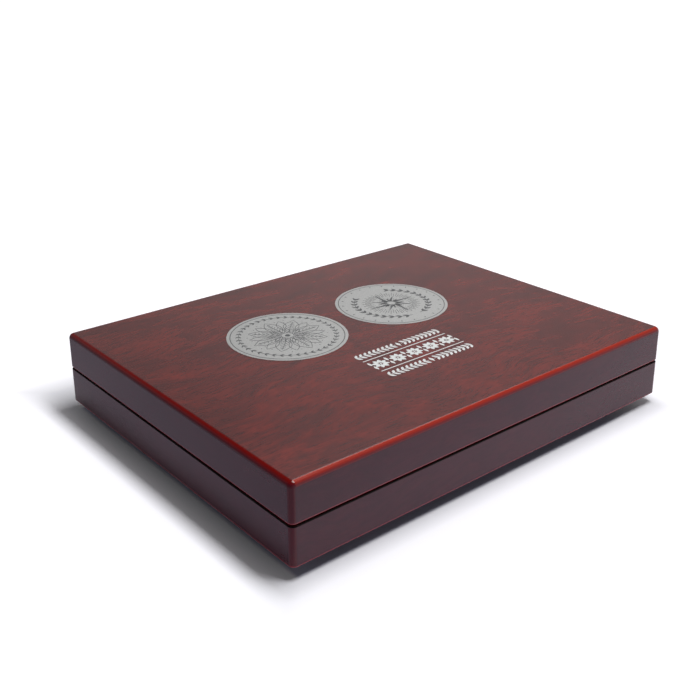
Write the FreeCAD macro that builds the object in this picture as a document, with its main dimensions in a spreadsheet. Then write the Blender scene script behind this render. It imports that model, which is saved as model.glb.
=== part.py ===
import FreeCAD, Part
import os
import re
import Sketcher
from FreeCAD import Placement, Rotation, Vector

# Coin case: a hinged wooden case in millimetres, with its lid closed.
# X runs along the front, Y from the front to the back and Z up. The origin is on the table,
# under the middle of the case.

SIZES = {
    # The case as a whole
    "case_width": 305,
    "case_depth": 245,
    "foot_height": 7.5,
    "base_height": 24,
    "lid_height": 24,
    "seam_gap": 1,
    "corner_round": 3.4,
    "edge_round": 3.3,
    "seam_round": 0.7,
    "bottom_round": 0.7,
    # Rails and boards
    "wall": 12,
    "top_board": 6,
    "bottom_board": 4,
    "board_rebate": 6,
    "board_play": 0.1,
    # Feet, and the bumpers at the front of the seam
    "foot_radius": 6,
    "foot_taper": 0.6,
    "foot_round": 0.8,
    "foot_inset": 24,
    "bumper_radius": 2.5,
    "bumper_inset": 20,
    "bumper_play": 0.05,
    # Magnets in the front rails
    "magnet_radius": 4,
    "magnet_height": 3,
    "magnet_inset": 62.5,
    "magnet_play": 0.1,
    # Tray
    "tray_play": 0.4,
    "tray_cushion": 6,
    "tray_board": 2,
    "tray_rim": 3,
    "tray_below_rail": 0.8,
    "wells_across": 6,
    "wells_deep": 5,
    "divider": 3,
    "divider_below_rim": 1,
    "divider_play": 0.1,
    "velvet_round": 0.6,
    # Padded lining of the lid
    "lining_play": 0.5,
    "lining_board": 1.5,
    "lining_edge": 4,
    "lining_crown": 4,
    "lining_round": 2.5,
    # Hinges
    "hinge_inset": 57.5,
    "hinge_length": 38,
    "hinge_back": 0.5,
    "leaf_reach": 9.5,
    "leaf_thickness": 1,
    "leaf_play": 0.1,
    "knuckle_radius": 2,
    "knuckle_length": 13,
    "knuckle_play": 0.15,
    "barrel_play": 0.3,
    "pin_radius": 0.9,
    "pin_round": 0.3,
    "pin_play": 0.05,
    "stop_length": 1.2,
    "stop_angle": 120,
    "opening_angle": 95,
    "stop_play_angle": 2.5,
    # Screws of the hinges
    "screw_spread": 26,
    "screw_setback": 5.5,
    "screw_radius": 1,
    "screw_head_radius": 2,
    "screw_length": 8,
    "screw_play": 0.05,
    "slot_width": 0.5,
    "slot_depth": 0.4,
    # Foil discs on the lid
    "foil_radius": 39.5,
    "foil_spread": 90.5,
    "foil_back": 25,
    "foil_thickness": 0.15,
}

# Levels, lengths and places that follow from the sizes

SEAM = "(foot_height + base_height)"
LID_TOP = f"({SEAM} + lid_height)"
LID_CEILING = f"({LID_TOP} - top_board)"
BASE_FLOOR = "(foot_height + bottom_board)"
FRONT_RAIL_Y = "(wall / 2 - case_depth / 2)"
INSIDE_X = "(case_width - 2 * wall)"
INSIDE_Y = "(case_depth - 2 * wall)"
SEAT_X = f"({INSIDE_X} + 2 * board_rebate)"
SEAT_Y = f"({INSIDE_Y} + 2 * board_rebate)"

# The lid's rails are above the seam and the base's below it, so a depth into a rail counts
# up from the lid's rim and down from the base's.
UP = {"lid": 1, "base": -1}
RIM = {part: f"({SEAM} + {up} * seam_gap / 2)" for part, up in UP.items()}

TRAY_X = f"({INSIDE_X} - 2 * tray_play)"
TRAY_Y = f"({INSIDE_Y} - 2 * tray_play)"
TRAY_UNDERSIDE = f"({BASE_FLOOR} + tray_cushion)"
WELL_FLOOR = f"({TRAY_UNDERSIDE} + tray_board)"
TRAY_RIM_HEIGHT = f"({RIM['base']} - tray_below_rail - {WELL_FLOOR})"
DIVIDER_HEIGHT = f"({TRAY_RIM_HEIGHT} - divider_below_rim)"
WELLS_X = f"({TRAY_X} - 2 * tray_rim)"
WELLS_Y = f"({TRAY_Y} - 2 * tray_rim)"
PITCH_X = f"(({WELLS_X} + divider) / wells_across)"
PITCH_Y = f"(({WELLS_Y} + divider) / wells_deep)"

LINING_X = f"({INSIDE_X} - 2 * lining_play)"
LINING_Y = f"({INSIDE_Y} - 2 * lining_play)"
LINING_FACE = f"({LID_CEILING} - lining_board)"
LINING_THICKNESS = "(lining_edge + lining_crown)"
LINING_LOWEST = f"({LINING_FACE} - {LINING_THICKNESS})"

HINGE_Y = "(case_depth / 2 + hinge_back)"
SCREW_Y = f"({HINGE_Y} - screw_setback)"
SIDE_KNUCKLE = "((hinge_length - knuckle_length) / 2 - knuckle_play)"
SIDE_KNUCKLE_OFFSET = f"((hinge_length - {SIDE_KNUCKLE}) / 2)"

# Along a hinge, angles count from the front upwards, the way in which the lid opens.
HINGEWARD = Rotation(Vector(0, -1, 0), Vector(0, 0, 1), Vector(-1, 0, 0), "ZXY")
OUT_OF_RAIL = {"lid": Rotation(Vector(1, 0, 0), 180), "base": Rotation()}
HANDS = {"left": -1, "right": 1}
SIDES = {
    "front": ((-1, -1), (1, -1)),
    "right": ((1, -1), (1, 1)),
    "back": ((1, 1), (-1, 1)),
    "left": ((-1, 1), (-1, -1)),
}

doc = FreeCAD.newDocument("coin_case")
sheet = doc.addObject("Spreadsheet::Sheet", "Sizes")
for row, (size_name, size_value) in enumerate(SIZES.items(), start=1):
    sheet.set(f"A{row}", size_name)
    sheet.set(f"B{row}", str(size_value))
    sheet.setAlias(f"B{row}", size_name)
doc.recompute()

nodes = []


# Small helpers


def sized(expression):
    """The expression with the sheet's name before each of its sizes."""
    return re.sub(r"[a-z_]+", lambda word: f"Sizes.{word[0]}", str(expression))


def value_of(expression):
    return float(sheet.evalExpression(sized(expression)))


def bind(thing, **expressions):
    for name, expression in expressions.items():
        thing.setExpression(name, sized(expression))
    return thing


def place(thing, position, rotation=Rotation()):
    """Turn a thing and tie its position to the sizes."""
    thing.Placement = Placement(Vector(), rotation)
    for axis, expression in zip("xyz", position):
        thing.setExpression(f"Placement.Base.{axis}", sized(expression))
    return thing


def box(label, middle, size):
    """A block, by the middle of its underside and its lengths along X, Y and Z."""
    x, y, z = middle
    length, width, height = size
    block = bind(doc.addObject("Part::Box", label), Length=length, Width=width, Height=height)
    return place(block, (f"{x} - {length} / 2", f"{y} - {width} / 2", z))


def cylinder(label, start, radius, height, rotation=Rotation(), angle="360"):
    rod = bind(doc.addObject("Part::Cylinder", label), Radius=radius, Height=height, Angle=angle)
    return place(rod, start, rotation)


def cone(label, start, first_radius, last_radius, height, rotation=Rotation()):
    taper = doc.addObject("Part::Cone", label)
    bind(taper, Radius1=first_radius, Radius2=last_radius, Height=height)
    return place(taper, start, rotation)


def combine(kind, label, base, tool):
    piece = doc.addObject(f"Part::{kind}", label)
    piece.Base = base
    piece.Tool = tool
    return piece


def cut(label, base, tools):
    return combine("Cut", label, base, together(f"{label}_tools", tools))


def common(label, base, tool):
    return combine("Common", label, base, tool)


def fuse(label, pieces):
    whole = doc.addObject("Part::MultiFuse", label)
    whole.Shapes = pieces
    return whole


def together(label, pieces):
    group = doc.addObject("Part::Compound", label)
    group.Links = pieces
    return group


def rounded(label, base, radius, chosen):
    """A piece with a rounding on the edges that the function chosen picks."""
    doc.recompute()
    size = SIZES[radius]
    piece = doc.addObject("Part::Fillet", label)
    piece.Base = base
    edges = enumerate(base.Shape.Edges, start=1)
    piece.Edges = [(number, size, size) for number, edge in edges if chosen(edge)]
    return piece


def lies_at(level):
    """A test for the edges that lie in the plane at one level."""
    return lambda edge: edge.BoundBox.ZLength < 0.001 and abs(edge.BoundBox.ZMin - level) < 0.001


def is_upright(edge):
    return edge.BoundBox.XLength + edge.BoundBox.YLength < 0.001


def is_end_circle(edge):
    return edge.BoundBox.XLength < 0.001


def node(label, thing, solids=1):
    """Name a finished piece, which gets a file of its own."""
    thing.Label = label
    nodes.append((label, thing, solids))


def rectangle(middle, size):
    (x, y), (length, width) = middle, size
    corners = ((-1, -1), (1, -1), (1, 1), (-1, 1))
    return [(f"{x} + {i} * {length} / 2", f"{y} + {j} * {width} / 2") for i, j in corners]


def origin_feature(body, role):
    return next(item for item in body.Origin.OriginFeatures if item.Role == role)


def outline(body, label, points, level):
    """A closed outline through the points, in a level plane."""
    sketch = body.newObject("Sketcher::SketchObject", label)
    sketch.AttachmentSupport = [(origin_feature(body, "XY_Plane"), "")]
    sketch.MapMode = "FlatFace"
    sketch.setExpression("AttachmentOffset.Base.z", sized(level))
    corners = [Vector(value_of(x), value_of(y), 0) for x, y in points]
    for corner, following in zip(corners, corners[1:] + corners[:1]):
        sketch.addGeometry(Part.LineSegment(corner, following))
    for line, (point, corner) in enumerate(zip(points, corners)):
        following = (line + 1) % len(points)
        sketch.addConstraint(Sketcher.Constraint("Coincident", line, 2, following, 1))
        for kind, expression, value in zip(("DistanceX", "DistanceY"), point, corner):
            distance = sketch.addConstraint(Sketcher.Constraint(kind, -1, 1, line, 1, value))
            sketch.setExpression(f"Constraints[{distance}]", sized(expression))
    return sketch


def raised(label, points, level, height):
    """A body raised from a level outline."""
    body = doc.addObject("PartDesign::Body", label)
    pad = body.newObject("PartDesign::Pad", f"{label}_pad")
    pad.Profile = outline(body, f"{label}_outline", points, level)
    pad.setExpression("Length", sized(height))
    doc.recompute()
    return body


def round_over(body, label, radius, chosen):
    """Round the edges of a body that the function chosen picks."""
    previous = body.Tip
    edges = enumerate(previous.Shape.Edges, start=1)
    rounding = body.newObject("PartDesign::Fillet", label)
    rounding.Base = (previous, [f"Edge{number}" for number, edge in edges if chosen(edge)])
    rounding.setExpression("Radius", sized(radius))
    body.Tip = rounding
    doc.recompute()


# Base and lid: mitred rails, rounded with the boards by one outer form


def outer_form(label, level, height, top_round, low_round):
    body = raised(label, rectangle(("0", "0"), ("case_width", "case_depth")), level, height)
    bounds = body.Shape.BoundBox
    round_over(body, f"{label}_corners", "corner_round", is_upright)
    round_over(body, f"{label}_top", top_round, lies_at(bounds.ZMax))
    round_over(body, f"{label}_low", low_round, lies_at(bounds.ZMin))
    return body


def rail(part, side, level, height, form, tools):
    """One straight rail with a mitre at each end."""
    name = f"{part}_{side}_rail"
    first, last = SIDES[side]
    corners = ((first, "0"), (last, "0"), (last, "wall"), (first, "wall"))
    points = [
        (f"{x} * (case_width / 2 - {inset})", f"{y} * (case_depth / 2 - {inset})")
        for (x, y), inset in corners
    ]
    piece = common(f"{name}_form", raised(f"{name}_blank", points, level, height), form)
    node(name, cut(f"{name}_cut", piece, tools) if tools else piece)


def hinge_middle(hand):
    return f"{HANDS[hand]} * (case_width / 2 - hinge_inset)"


def depth(part, distance):
    """The level at a distance into a rail from its rim."""
    return f"{RIM[part]} + {UP[part]} * ({distance})"


def lower_level(part, distance):
    """The lower end of something that goes a distance into a rail from its rim."""
    return RIM[part] if UP[part] > 0 else depth(part, distance)


def barrel(label, middle, radius, length, first_angle=0, angle="360"):
    """A round piece on a hinge's axis, by its middle along X."""
    turn = HINGEWARD.multiply(Rotation(Vector(0, 0, 1), first_angle))
    return cylinder(label, (f"{middle} + {length} / 2", HINGE_Y, SEAM), radius, length, turn, angle)


def screw_places(hand):
    for side in (-1, 1):
        yield f"{hinge_middle(hand)} + {side} * screw_spread / 2"


def hinge_pockets(part):
    """Room in a back rail for each hinge's leaf, barrel and screws."""
    thickness = "(leaf_thickness + leaf_play)"
    reach = "(leaf_reach + leaf_play)"
    for hand in HANDS:
        name = f"{part}_{hand}_hinge"
        middle = hinge_middle(hand)
        yield box(
            f"{name}_leaf_room",
            (middle, f"{HINGE_Y} - {reach} / 2", lower_level(part, thickness)),
            ("(hinge_length + 2 * leaf_play)", reach, thickness),
        )
        yield barrel(
            f"{name}_barrel_room",
            middle,
            "(knuckle_radius + barrel_play)",
            "(hinge_length + 2 * barrel_play)",
        )
        for number, x in enumerate(screw_places(hand), start=1):
            yield cylinder(
                f"{name}_pilot_{number}",
                (x, SCREW_Y, depth(part, "screw_length + screw_play")),
                "screw_radius + screw_play",
                "screw_length + screw_play",
                OUT_OF_RAIL[part],
            )


def in_front_rail(part, label, hand, radius, height):
    """A magnet, or its hole, that goes into the front rail from the rim."""
    x = f"{HANDS[hand]} * (case_width / 2 - magnet_inset)"
    return cylinder(label, (x, FRONT_RAIL_Y, lower_level(part, height)), radius, height)


def magnet_holes(part):
    size = ("magnet_radius + magnet_play", "magnet_height + magnet_play")
    return [in_front_rail(part, f"{part}_{hand}_magnet_hole", hand, *size) for hand in HANDS]


board_seat = box("board_seat", ("0", "0", "foot_height"), (SEAT_X, SEAT_Y, "bottom_board"))
base_height = f"({RIM['base']} - foot_height)"
base_form = outer_form("base_form", "foot_height", base_height, "seam_round", "bottom_round")
lid_form = outer_form("lid_form", RIM["lid"], f"({LID_TOP} - {RIM['lid']})", "edge_round", "seam_round")
for part, level, height, form, tools in (
    ("base", "foot_height", base_height, base_form, [board_seat]),
    ("lid", RIM["lid"], f"({LID_CEILING} - {RIM['lid']})", lid_form, []),
):
    own_tools = {"front": magnet_holes(part), "back": list(hinge_pockets(part))}
    for side in SIDES:
        rail(part, side, level, height, form, tools + own_tools.get(side, []))

board_size = (f"({SEAT_X} - 2 * board_play)", f"({SEAT_Y} - 2 * board_play)", "bottom_board")
node("base_bottom_board", box("bottom_panel", ("0", "0", "foot_height"), board_size))
lid_blank = box("lid_blank", ("0", "0", LID_CEILING), ("case_width", "case_depth", "top_board"))
node("lid_top_board", common("lid_board", lid_blank, lid_form))

# Magnets, feet, and bumpers that keep the seam open at the front

for part in UP:
    for hand in HANDS:
        name = f"{part}_magnet_{hand}"
        node(name, in_front_rail(part, f"{name}_disc", hand, "magnet_radius", "magnet_height"))

for hand, x in HANDS.items():
    for end, y in (("front", -1), ("back", 1)):
        name = f"foot_{end}_{hand}"
        middle = (f"{x} * (case_width / 2 - foot_inset)", f"{y} * (case_depth / 2 - foot_inset)", "0")
        blank = cone(f"{name}_blank", middle, "foot_radius - foot_taper", "foot_radius", "foot_height")
        node(name, rounded(f"{name}_rounded", blank, "foot_round", lies_at(0)))
    middle = (f"{x} * (case_width / 2 - bumper_inset)", FRONT_RAIL_Y, RIM["base"])
    node(f"bumper_{hand}", cylinder(f"{hand}_dot", middle, "bumper_radius", "seam_gap - bumper_play"))

# Tray: a foam cushion, a velvet board on it, a rim round the board, and crossed dividers

cushion_size = (TRAY_X, TRAY_Y, "tray_cushion")
node("tray_cushion", box("cushion_sheet", ("0", "0", BASE_FLOOR), cushion_size))
board_size = (TRAY_X, TRAY_Y, "tray_board")
node("tray_board", box("velvet_board", ("0", "0", TRAY_UNDERSIDE), board_size))


def rim_strip(side, middle, size):
    """One side of the rim, with its upper edges softened by the velvet."""
    name = f"tray_{side}_rim"
    blank = box(f"{name}_blank", (*middle, WELL_FLOOR), (*size, TRAY_RIM_HEIGHT))
    top = lies_at(value_of(f"{WELL_FLOOR} + {TRAY_RIM_HEIGHT}"))
    node(name, rounded(f"{name}_rounded", blank, "velvet_round", top))


for side, sign in (("front", -1), ("back", 1)):
    rim_strip(side, ("0", f"{sign} * ({TRAY_Y} - tray_rim) / 2"), (TRAY_X, "tray_rim"))
for side, sign in HANDS.items():
    rim_strip(side, (f"{sign} * ({TRAY_X} - tray_rim) / 2", "0"), ("tray_rim", WELLS_Y))

SLOT = ("(2 * divider)", "(divider + 2 * divider_play)")
SLOT_TOP = {
    "long": f"({WELL_FLOOR} + {DIVIDER_HEIGHT})",
    "short": f"({WELL_FLOOR} + {DIVIDER_HEIGHT} / 2 + divider_play / 2)",
}


def divider_place(number, pitch, wells):
    """The middle of a divider, counted from the left or the front."""
    return f"({number} * {pitch} - ({wells} + divider) / 2)"


def divider(kind, number, middle, size, first_slot, slot_size, axis, pitch, wells):
    """A strip on edge, cut half through where the strips of the other kind cross it."""
    name = f"tray_{kind}_divider_{number}"
    body = raised(f"{name}_strip", rectangle(middle, size), WELL_FLOOR, DIVIDER_HEIGHT)
    top = lies_at(body.Shape.BoundBox.ZMax)
    round_over(body, f"{name}_softened", "velvet_round", top)
    uncut = body.Shape.Volume
    slot = body.newObject("PartDesign::Pocket", f"{name}_slot")
    slot.Profile = outline(body, f"{name}_slot_outline", rectangle(first_slot, slot_size), SLOT_TOP[kind])
    slot.setExpression("Length", sized(f"{DIVIDER_HEIGHT} / 2 + divider_play / 2"))
    row = body.newObject("PartDesign::LinearPattern", f"{name}_slots")
    row.Originals = [slot]
    row.Direction = (origin_feature(body, axis), [""])
    bind(row, Length=f"{pitch} * ({wells} - 2)", Occurrences=f"{wells} - 1")
    body.Tip = row
    doc.recompute()
    if not body.Shape.Volume < slot.Shape.Volume < uncut:
        raise RuntimeError(f"{name} has not got all of its slots")
    node(name, body)


first_x = divider_place(1, PITCH_X, WELLS_X)
first_y = divider_place(1, PITCH_Y, WELLS_Y)
for number in range(1, int(SIZES["wells_deep"])):
    y = divider_place(number, PITCH_Y, WELLS_Y)
    size = (f"({WELLS_X} - 2 * divider_play)", "divider")
    divider("long", number, ("0", y), size, (first_x, y), SLOT[::-1], "X_Axis", PITCH_X, "wells_across")
for number in range(1, int(SIZES["wells_across"])):
    x = divider_place(number, PITCH_X, WELLS_X)
    size = ("divider", f"({WELLS_Y} - 2 * divider_play)")
    divider("short", number, (x, "0"), size, (x, first_y), SLOT, "Y_Axis", PITCH_Y, "wells_deep")

# Lining of the lid: a card board, and a satin pad that swells down towards its middle. The pad's
# face is part of a large ball, which leaves lining_edge at its corners.

card_size = (LINING_X, LINING_Y, "lining_board")
node("lining_board", box("lining_card", ("0", "0", LINING_FACE), card_size))
half_diagonal = f"(({LINING_X} ^ 2 + {LINING_Y} ^ 2) ^ 0.5 / 2)"
swell_radius = f"(({half_diagonal} ^ 2 + lining_crown ^ 2) / (2 * lining_crown))"
ball = bind(doc.addObject("Part::Sphere", "lining_ball"), Radius=swell_radius)
place(ball, ("0", "0", f"{LINING_LOWEST} + {swell_radius}"))
blank_height = f"(2 * {LINING_THICKNESS})"
blank_middle = ("0", "0", f"{LINING_FACE} - {blank_height}")
pad_blank = box("lining_blank", blank_middle, (LINING_X, LINING_Y, blank_height))
pad_form = common("lining_form", pad_blank, ball)
card_level = value_of(LINING_FACE)


def is_below_card(edge):
    return edge.BoundBox.ZMax < card_level - 0.001


node("lining_pad", rounded("lining_rounded", pad_form, "lining_round", is_below_card))

# Hinges: stop butt hinges let into the rims. A step on each end knuckle turns in a recess of
# the middle knuckle, and ends the opening.

step_start = -90 - SIZES["stop_angle"] / 2
recess_start = step_start - SIZES["opening_angle"] - SIZES["stop_play_angle"]
RECESS_ANGLE = "(stop_angle + opening_angle + 2 * stop_play_angle)"


def knuckles_of(part, hand):
    """The middle and length of each knuckle on a leaf: one on the lid's, two on the base's."""
    middle = hinge_middle(hand)
    if part == "lid":
        return [(middle, "knuckle_length")]
    return [(f"{middle} + {side} * {SIDE_KNUCKLE_OFFSET}", SIDE_KNUCKLE) for side in (-1, 1)]


def steps(name, hand, radius, length, offset, first_angle, angle):
    """A sector at each end of the middle knuckle: a step, or the recess that it turns in."""
    for number, side in enumerate((-1, 1), start=1):
        middle = f"{hinge_middle(hand)} + {side} * {offset}"
        yield barrel(f"{name}_{number}", middle, radius, length, first_angle, angle)


def hinge_leaf(part, hand):
    name = f"hinge_{hand}_{part}_leaf"
    other = "lid" if part == "base" else "base"
    plate = box(
        f"{name}_plate",
        (hinge_middle(hand), f"{HINGE_Y} - leaf_reach / 2", lower_level(part, "leaf_thickness")),
        ("hinge_length", "leaf_reach", "leaf_thickness"),
    )
    rooms = [
        barrel(f"{name}_room_{number}", x, "knuckle_radius + knuckle_play", f"({length} + 2 * knuckle_play)")
        for number, (x, length) in enumerate(knuckles_of(other, hand), start=1)
    ]
    solid = [cut(f"{name}_notched", plate, rooms)]
    for number, (x, length) in enumerate(knuckles_of(part, hand), start=1):
        solid.append(barrel(f"{name}_knuckle_{number}", x, "knuckle_radius", length))
    holes = [barrel(f"{name}_bore", hinge_middle(hand), "pin_radius + pin_play", "(2 * hinge_length)")]
    length = "(stop_length + knuckle_play)"
    if part == "base":
        offset = "((knuckle_length - stop_length + knuckle_play) / 2)"
        solid += steps(f"{name}_step", hand, "knuckle_radius", length, offset, step_start, "stop_angle")
    else:
        offset = f"((knuckle_length - {length}) / 2)"
        radius = "knuckle_radius + knuckle_play"
        holes += steps(f"{name}_recess", hand, radius, length, offset, recess_start, RECESS_ANGLE)
    for number, x in enumerate(screw_places(hand), start=1):
        holes.append(
            cone(
                f"{name}_countersink_{number}",
                (x, SCREW_Y, depth(part, "leaf_thickness")),
                "screw_radius + screw_play",
                "screw_head_radius + screw_play",
                "leaf_thickness",
                OUT_OF_RAIL[part],
            )
        )
    node(name, cut(f"{name}_drilled", fuse(f"{name}_solid", solid), holes))


def hinge_screw(part, name, x):
    """A countersunk screw with a slot in its head."""
    head = cone(
        f"{name}_head",
        (x, SCREW_Y, depth(part, "leaf_thickness")),
        "screw_radius",
        "screw_head_radius",
        "leaf_thickness",
        OUT_OF_RAIL[part],
    )
    shank = cylinder(
        f"{name}_shank",
        (x, SCREW_Y, depth(part, "screw_length")),
        "screw_radius",
        "screw_length - leaf_thickness",
        OUT_OF_RAIL[part],
    )
    slot = box(
        f"{name}_slot",
        (x, SCREW_Y, lower_level(part, "slot_depth")),
        ("(2 * screw_head_radius)", "slot_width", "slot_depth"),
    )
    return cut(f"{name}_cut", fuse(f"{name}_solid", [head, shank]), [slot])


for hand in HANDS:
    for part in UP:
        hinge_leaf(part, hand)
    rod = barrel(f"hinge_{hand}_rod", hinge_middle(hand), "pin_radius", "hinge_length")
    node(f"hinge_{hand}_pin", rounded(f"hinge_{hand}_rod_rounded", rod, "pin_round", is_end_circle))
for part in UP:
    screws = [
        hinge_screw(part, f"{part}_{hand}_screw_{number}", x)
        for hand in HANDS
        for number, x in enumerate(screw_places(hand), start=1)
    ]
    node(f"hinge_screws_{part}", together(f"{part}_screws", screws), len(screws))

# Foil discs printed on the lid

for hand, x in HANDS.items():
    middle = (f"{x} * foil_spread / 2", "foil_back", LID_TOP)
    node(f"foil_disc_{hand}", cylinder(f"{hand}_foil", middle, "foil_radius", "foil_thickness"))

# Check every object, then write each piece to its own file

doc.recompute()
for thing in doc.Objects:
    if {"Invalid", "Error"} & set(thing.State):
        raise RuntimeError(f"{thing.Name} has the state {thing.State}")
for label, thing, solids in nodes:
    if thing.Shape.isNull() or not thing.Shape.isValid() or len(thing.Shape.Solids) != solids:
        raise RuntimeError(f"{label} isn't {solids} valid solids")

os.makedirs("parts", exist_ok=True)
for label, thing, solids in nodes:
    thing.Shape.exportStep(f"parts/{label}.step")
    print(f"{label}: {thing.Shape.Volume / 1000:.2f} cm3")
print(f"{len(nodes)} pieces")
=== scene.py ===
# %% [markdown]
# A flat wooden case for coins, closed, on a white table. The case itself comes from the CAD model: rails,
# boards, hinges, screws, feet and the two silver discs on the lid. This script gives those solids their
# finishes and adds what CAD is poor at: the velvet tray, the padded satin lining, the fine lines on the
# discs and the white ornament. Everything is in metres, in the frame of the CAD model: x runs along the
# front, y from the front to the hinges, and z up.

import math

import bmesh
import bpy
from mathutils import Matrix, Vector, noise


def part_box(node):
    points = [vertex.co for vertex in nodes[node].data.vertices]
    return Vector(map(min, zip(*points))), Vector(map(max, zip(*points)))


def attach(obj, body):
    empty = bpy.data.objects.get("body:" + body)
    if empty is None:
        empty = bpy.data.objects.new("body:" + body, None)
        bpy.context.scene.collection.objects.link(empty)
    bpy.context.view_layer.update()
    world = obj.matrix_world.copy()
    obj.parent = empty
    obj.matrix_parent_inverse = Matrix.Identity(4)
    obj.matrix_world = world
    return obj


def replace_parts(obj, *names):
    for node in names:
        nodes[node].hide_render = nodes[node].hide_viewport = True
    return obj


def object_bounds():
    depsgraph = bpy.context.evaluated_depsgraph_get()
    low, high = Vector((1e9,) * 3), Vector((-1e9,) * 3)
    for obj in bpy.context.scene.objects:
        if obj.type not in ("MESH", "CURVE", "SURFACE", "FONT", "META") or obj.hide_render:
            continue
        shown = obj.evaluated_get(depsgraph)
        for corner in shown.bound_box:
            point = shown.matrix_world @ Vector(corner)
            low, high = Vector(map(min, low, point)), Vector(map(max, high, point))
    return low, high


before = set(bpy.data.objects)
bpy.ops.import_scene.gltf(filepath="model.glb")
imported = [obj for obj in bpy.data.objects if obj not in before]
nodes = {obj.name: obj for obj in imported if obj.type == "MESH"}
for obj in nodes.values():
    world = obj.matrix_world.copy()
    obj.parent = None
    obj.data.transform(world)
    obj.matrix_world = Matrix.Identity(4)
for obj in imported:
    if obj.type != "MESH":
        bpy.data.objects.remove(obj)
cad_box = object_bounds()
MM = 0.001

print("nodes:", len(nodes), "box in mm:", [round(value / MM, 1) for corner in cad_box for value in corner])

# %% [markdown]
# The camera stands to the left of the front, a little above the lid, as in the photograph. Its place and
# lens were worked out from the edges of the case, so a case of the right size falls on nearly the same
# pixels. An aim point and a slight roll say where it looks. The upright edges in the photograph hardly lean
# together, as with a lens that is shifted down instead of a camera that is tilted down, so the lens gets a
# small shift.

# %% Camera
CAMERA_PLACE = Vector((-0.3947, -0.4585, 0.3066))
CAMERA_AIM = Vector((0.1128, 0.1514, 0.0315))
CAMERA_ROLL = math.radians(-0.22)
CAMERA_LENS = 51.11
CAMERA_SHIFT = -0.114

camera = bpy.data.objects.new("camera", bpy.data.cameras.new("camera"))
bpy.context.scene.collection.objects.link(camera)
camera.data.lens = CAMERA_LENS
camera.data.shift_y = CAMERA_SHIFT
camera.data.clip_start = 0.01
camera.data.clip_end = 50
camera.location = CAMERA_PLACE
aim = (CAMERA_AIM - CAMERA_PLACE).to_track_quat("-Z", "Y").to_matrix()
camera.rotation_euler = (aim @ Matrix.Rotation(CAMERA_ROLL, 3, "Z")).to_euler()
bpy.context.scene.camera = camera

print("camera distance in mm:", round((CAMERA_AIM - CAMERA_PLACE).length / MM))

# %% [markdown]
# A product photograph on white is lit by one long soft box. The shadow tells where it hung: its edges are
# sharp near the case and soft away from it, it falls to the left, and behind the case it turns back because
# the box hung near. Tracing the edges back gives a box nearly a metre above the table, a little to the
# front and the right. Its power is worked out so that the lid's middle is lit at about 1, at which colours
# render as they are written.

# %% Light
SOFT_BOX_PLACE = Vector((0.0785, -0.204, 0.909))
SOFT_BOX_SIZE = (0.184, 0.573)
SOFT_BOX_LEVEL = 0.98

lid_middle = Vector((0, 0, cad_box[1][2]))
box_height = SOFT_BOX_PLACE.z - lid_middle.z
box_distance = (SOFT_BOX_PLACE - lid_middle).length
soft_box = bpy.data.objects.new("soft_box", bpy.data.lights.new("soft_box", "AREA"))
bpy.context.scene.collection.objects.link(soft_box)
soft_box.data.shape = "RECTANGLE"
soft_box.data.size, soft_box.data.size_y = SOFT_BOX_SIZE
soft_box.data.energy = SOFT_BOX_LEVEL * math.pi ** 2 * box_distance ** 4 / box_height ** 2
soft_box.location = SOFT_BOX_PLACE
soft_box.visible_camera = False
bpy.context.scene.view_settings.view_transform = "Standard"

print("soft box power in watts:", round(soft_box.data.energy, 2))

# %% [markdown]
# Materials here are node trees. A few small helpers keep the code short. The first places a node and fills
# its sockets, with plain values or with the outputs of other nodes. The others name what comes up again and
# again: a sum, a product, a smooth ramp, a mix of two colours, and a noise.

# %% Helpers for nodes
def put(tree, kind, settings=None, **inputs):
    """A new node. Inputs go by title, or by number as n0, n1 and so on."""
    made = tree.nodes.new("ShaderNode" + kind)
    for name, value in (settings or {}).items():
        setattr(made, name, value)
    for name, value in inputs.items():
        key = int(name[1:]) if name[0] == "n" and name[1:].isdigit() else name.replace("_", " ")
        if isinstance(value, bpy.types.NodeSocket):
            tree.links.new(value, made.inputs[key])
        else:
            made.inputs[key].default_value = value
    return made


def maths(tree, operation, first, second=0.0, clamp=False):
    settings = {"operation": operation, "use_clamp": clamp}
    return put(tree, "Math", settings, n0=first, n1=second).outputs[0]


def times(tree, first, second):
    return maths(tree, "MULTIPLY", first, second)


def less(tree, value, share=1.0):
    """What is left of 1 when a share of the value is taken away."""
    return maths(tree, "SUBTRACT", 1.0, times(tree, value, share))


def ramped(tree, value, low, high):
    """The value, stretched so that low gives 0 and high gives 1, with smooth ends."""
    settings = {"interpolation_type": "SMOOTHSTEP"}
    return put(tree, "MapRange", settings, Value=value, From_Min=low, From_Max=high).outputs[0]


def mixed(tree, factor, first, second, blend="MIX"):
    settings = {"data_type": "RGBA", "blend_type": blend}
    return put(tree, "Mix", settings, n0=factor, n6=first, n7=second).outputs[2]


def cloud(tree, place, scale, detail=2.0, roughness=0.5):
    return put(tree, "TexNoise", None, Vector=place, Scale=scale, Detail=detail, Roughness=roughness)


def drawn_out(tree, place, stretch, detail, roughness=0.5):
    """A noise that repeats as often per metre as stretch says, along each axis on its own."""
    place = put(tree, "VectorMath", {"operation": "MULTIPLY"}, n0=place, n1=stretch).outputs[0]
    return cloud(tree, place, 1, detail, roughness).outputs[0]


def place_in_object(tree):
    return put(tree, "TexCoord").outputs["Object"]


print("node helpers ready")

# %% [markdown]
# An effect that several finishes share is a node group with named inputs and outputs. It is built once and
# placed in each material with that material's own values. Each material has one Principled shader, which
# stays outside the groups, and its even values are written straight on its sockets.

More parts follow.
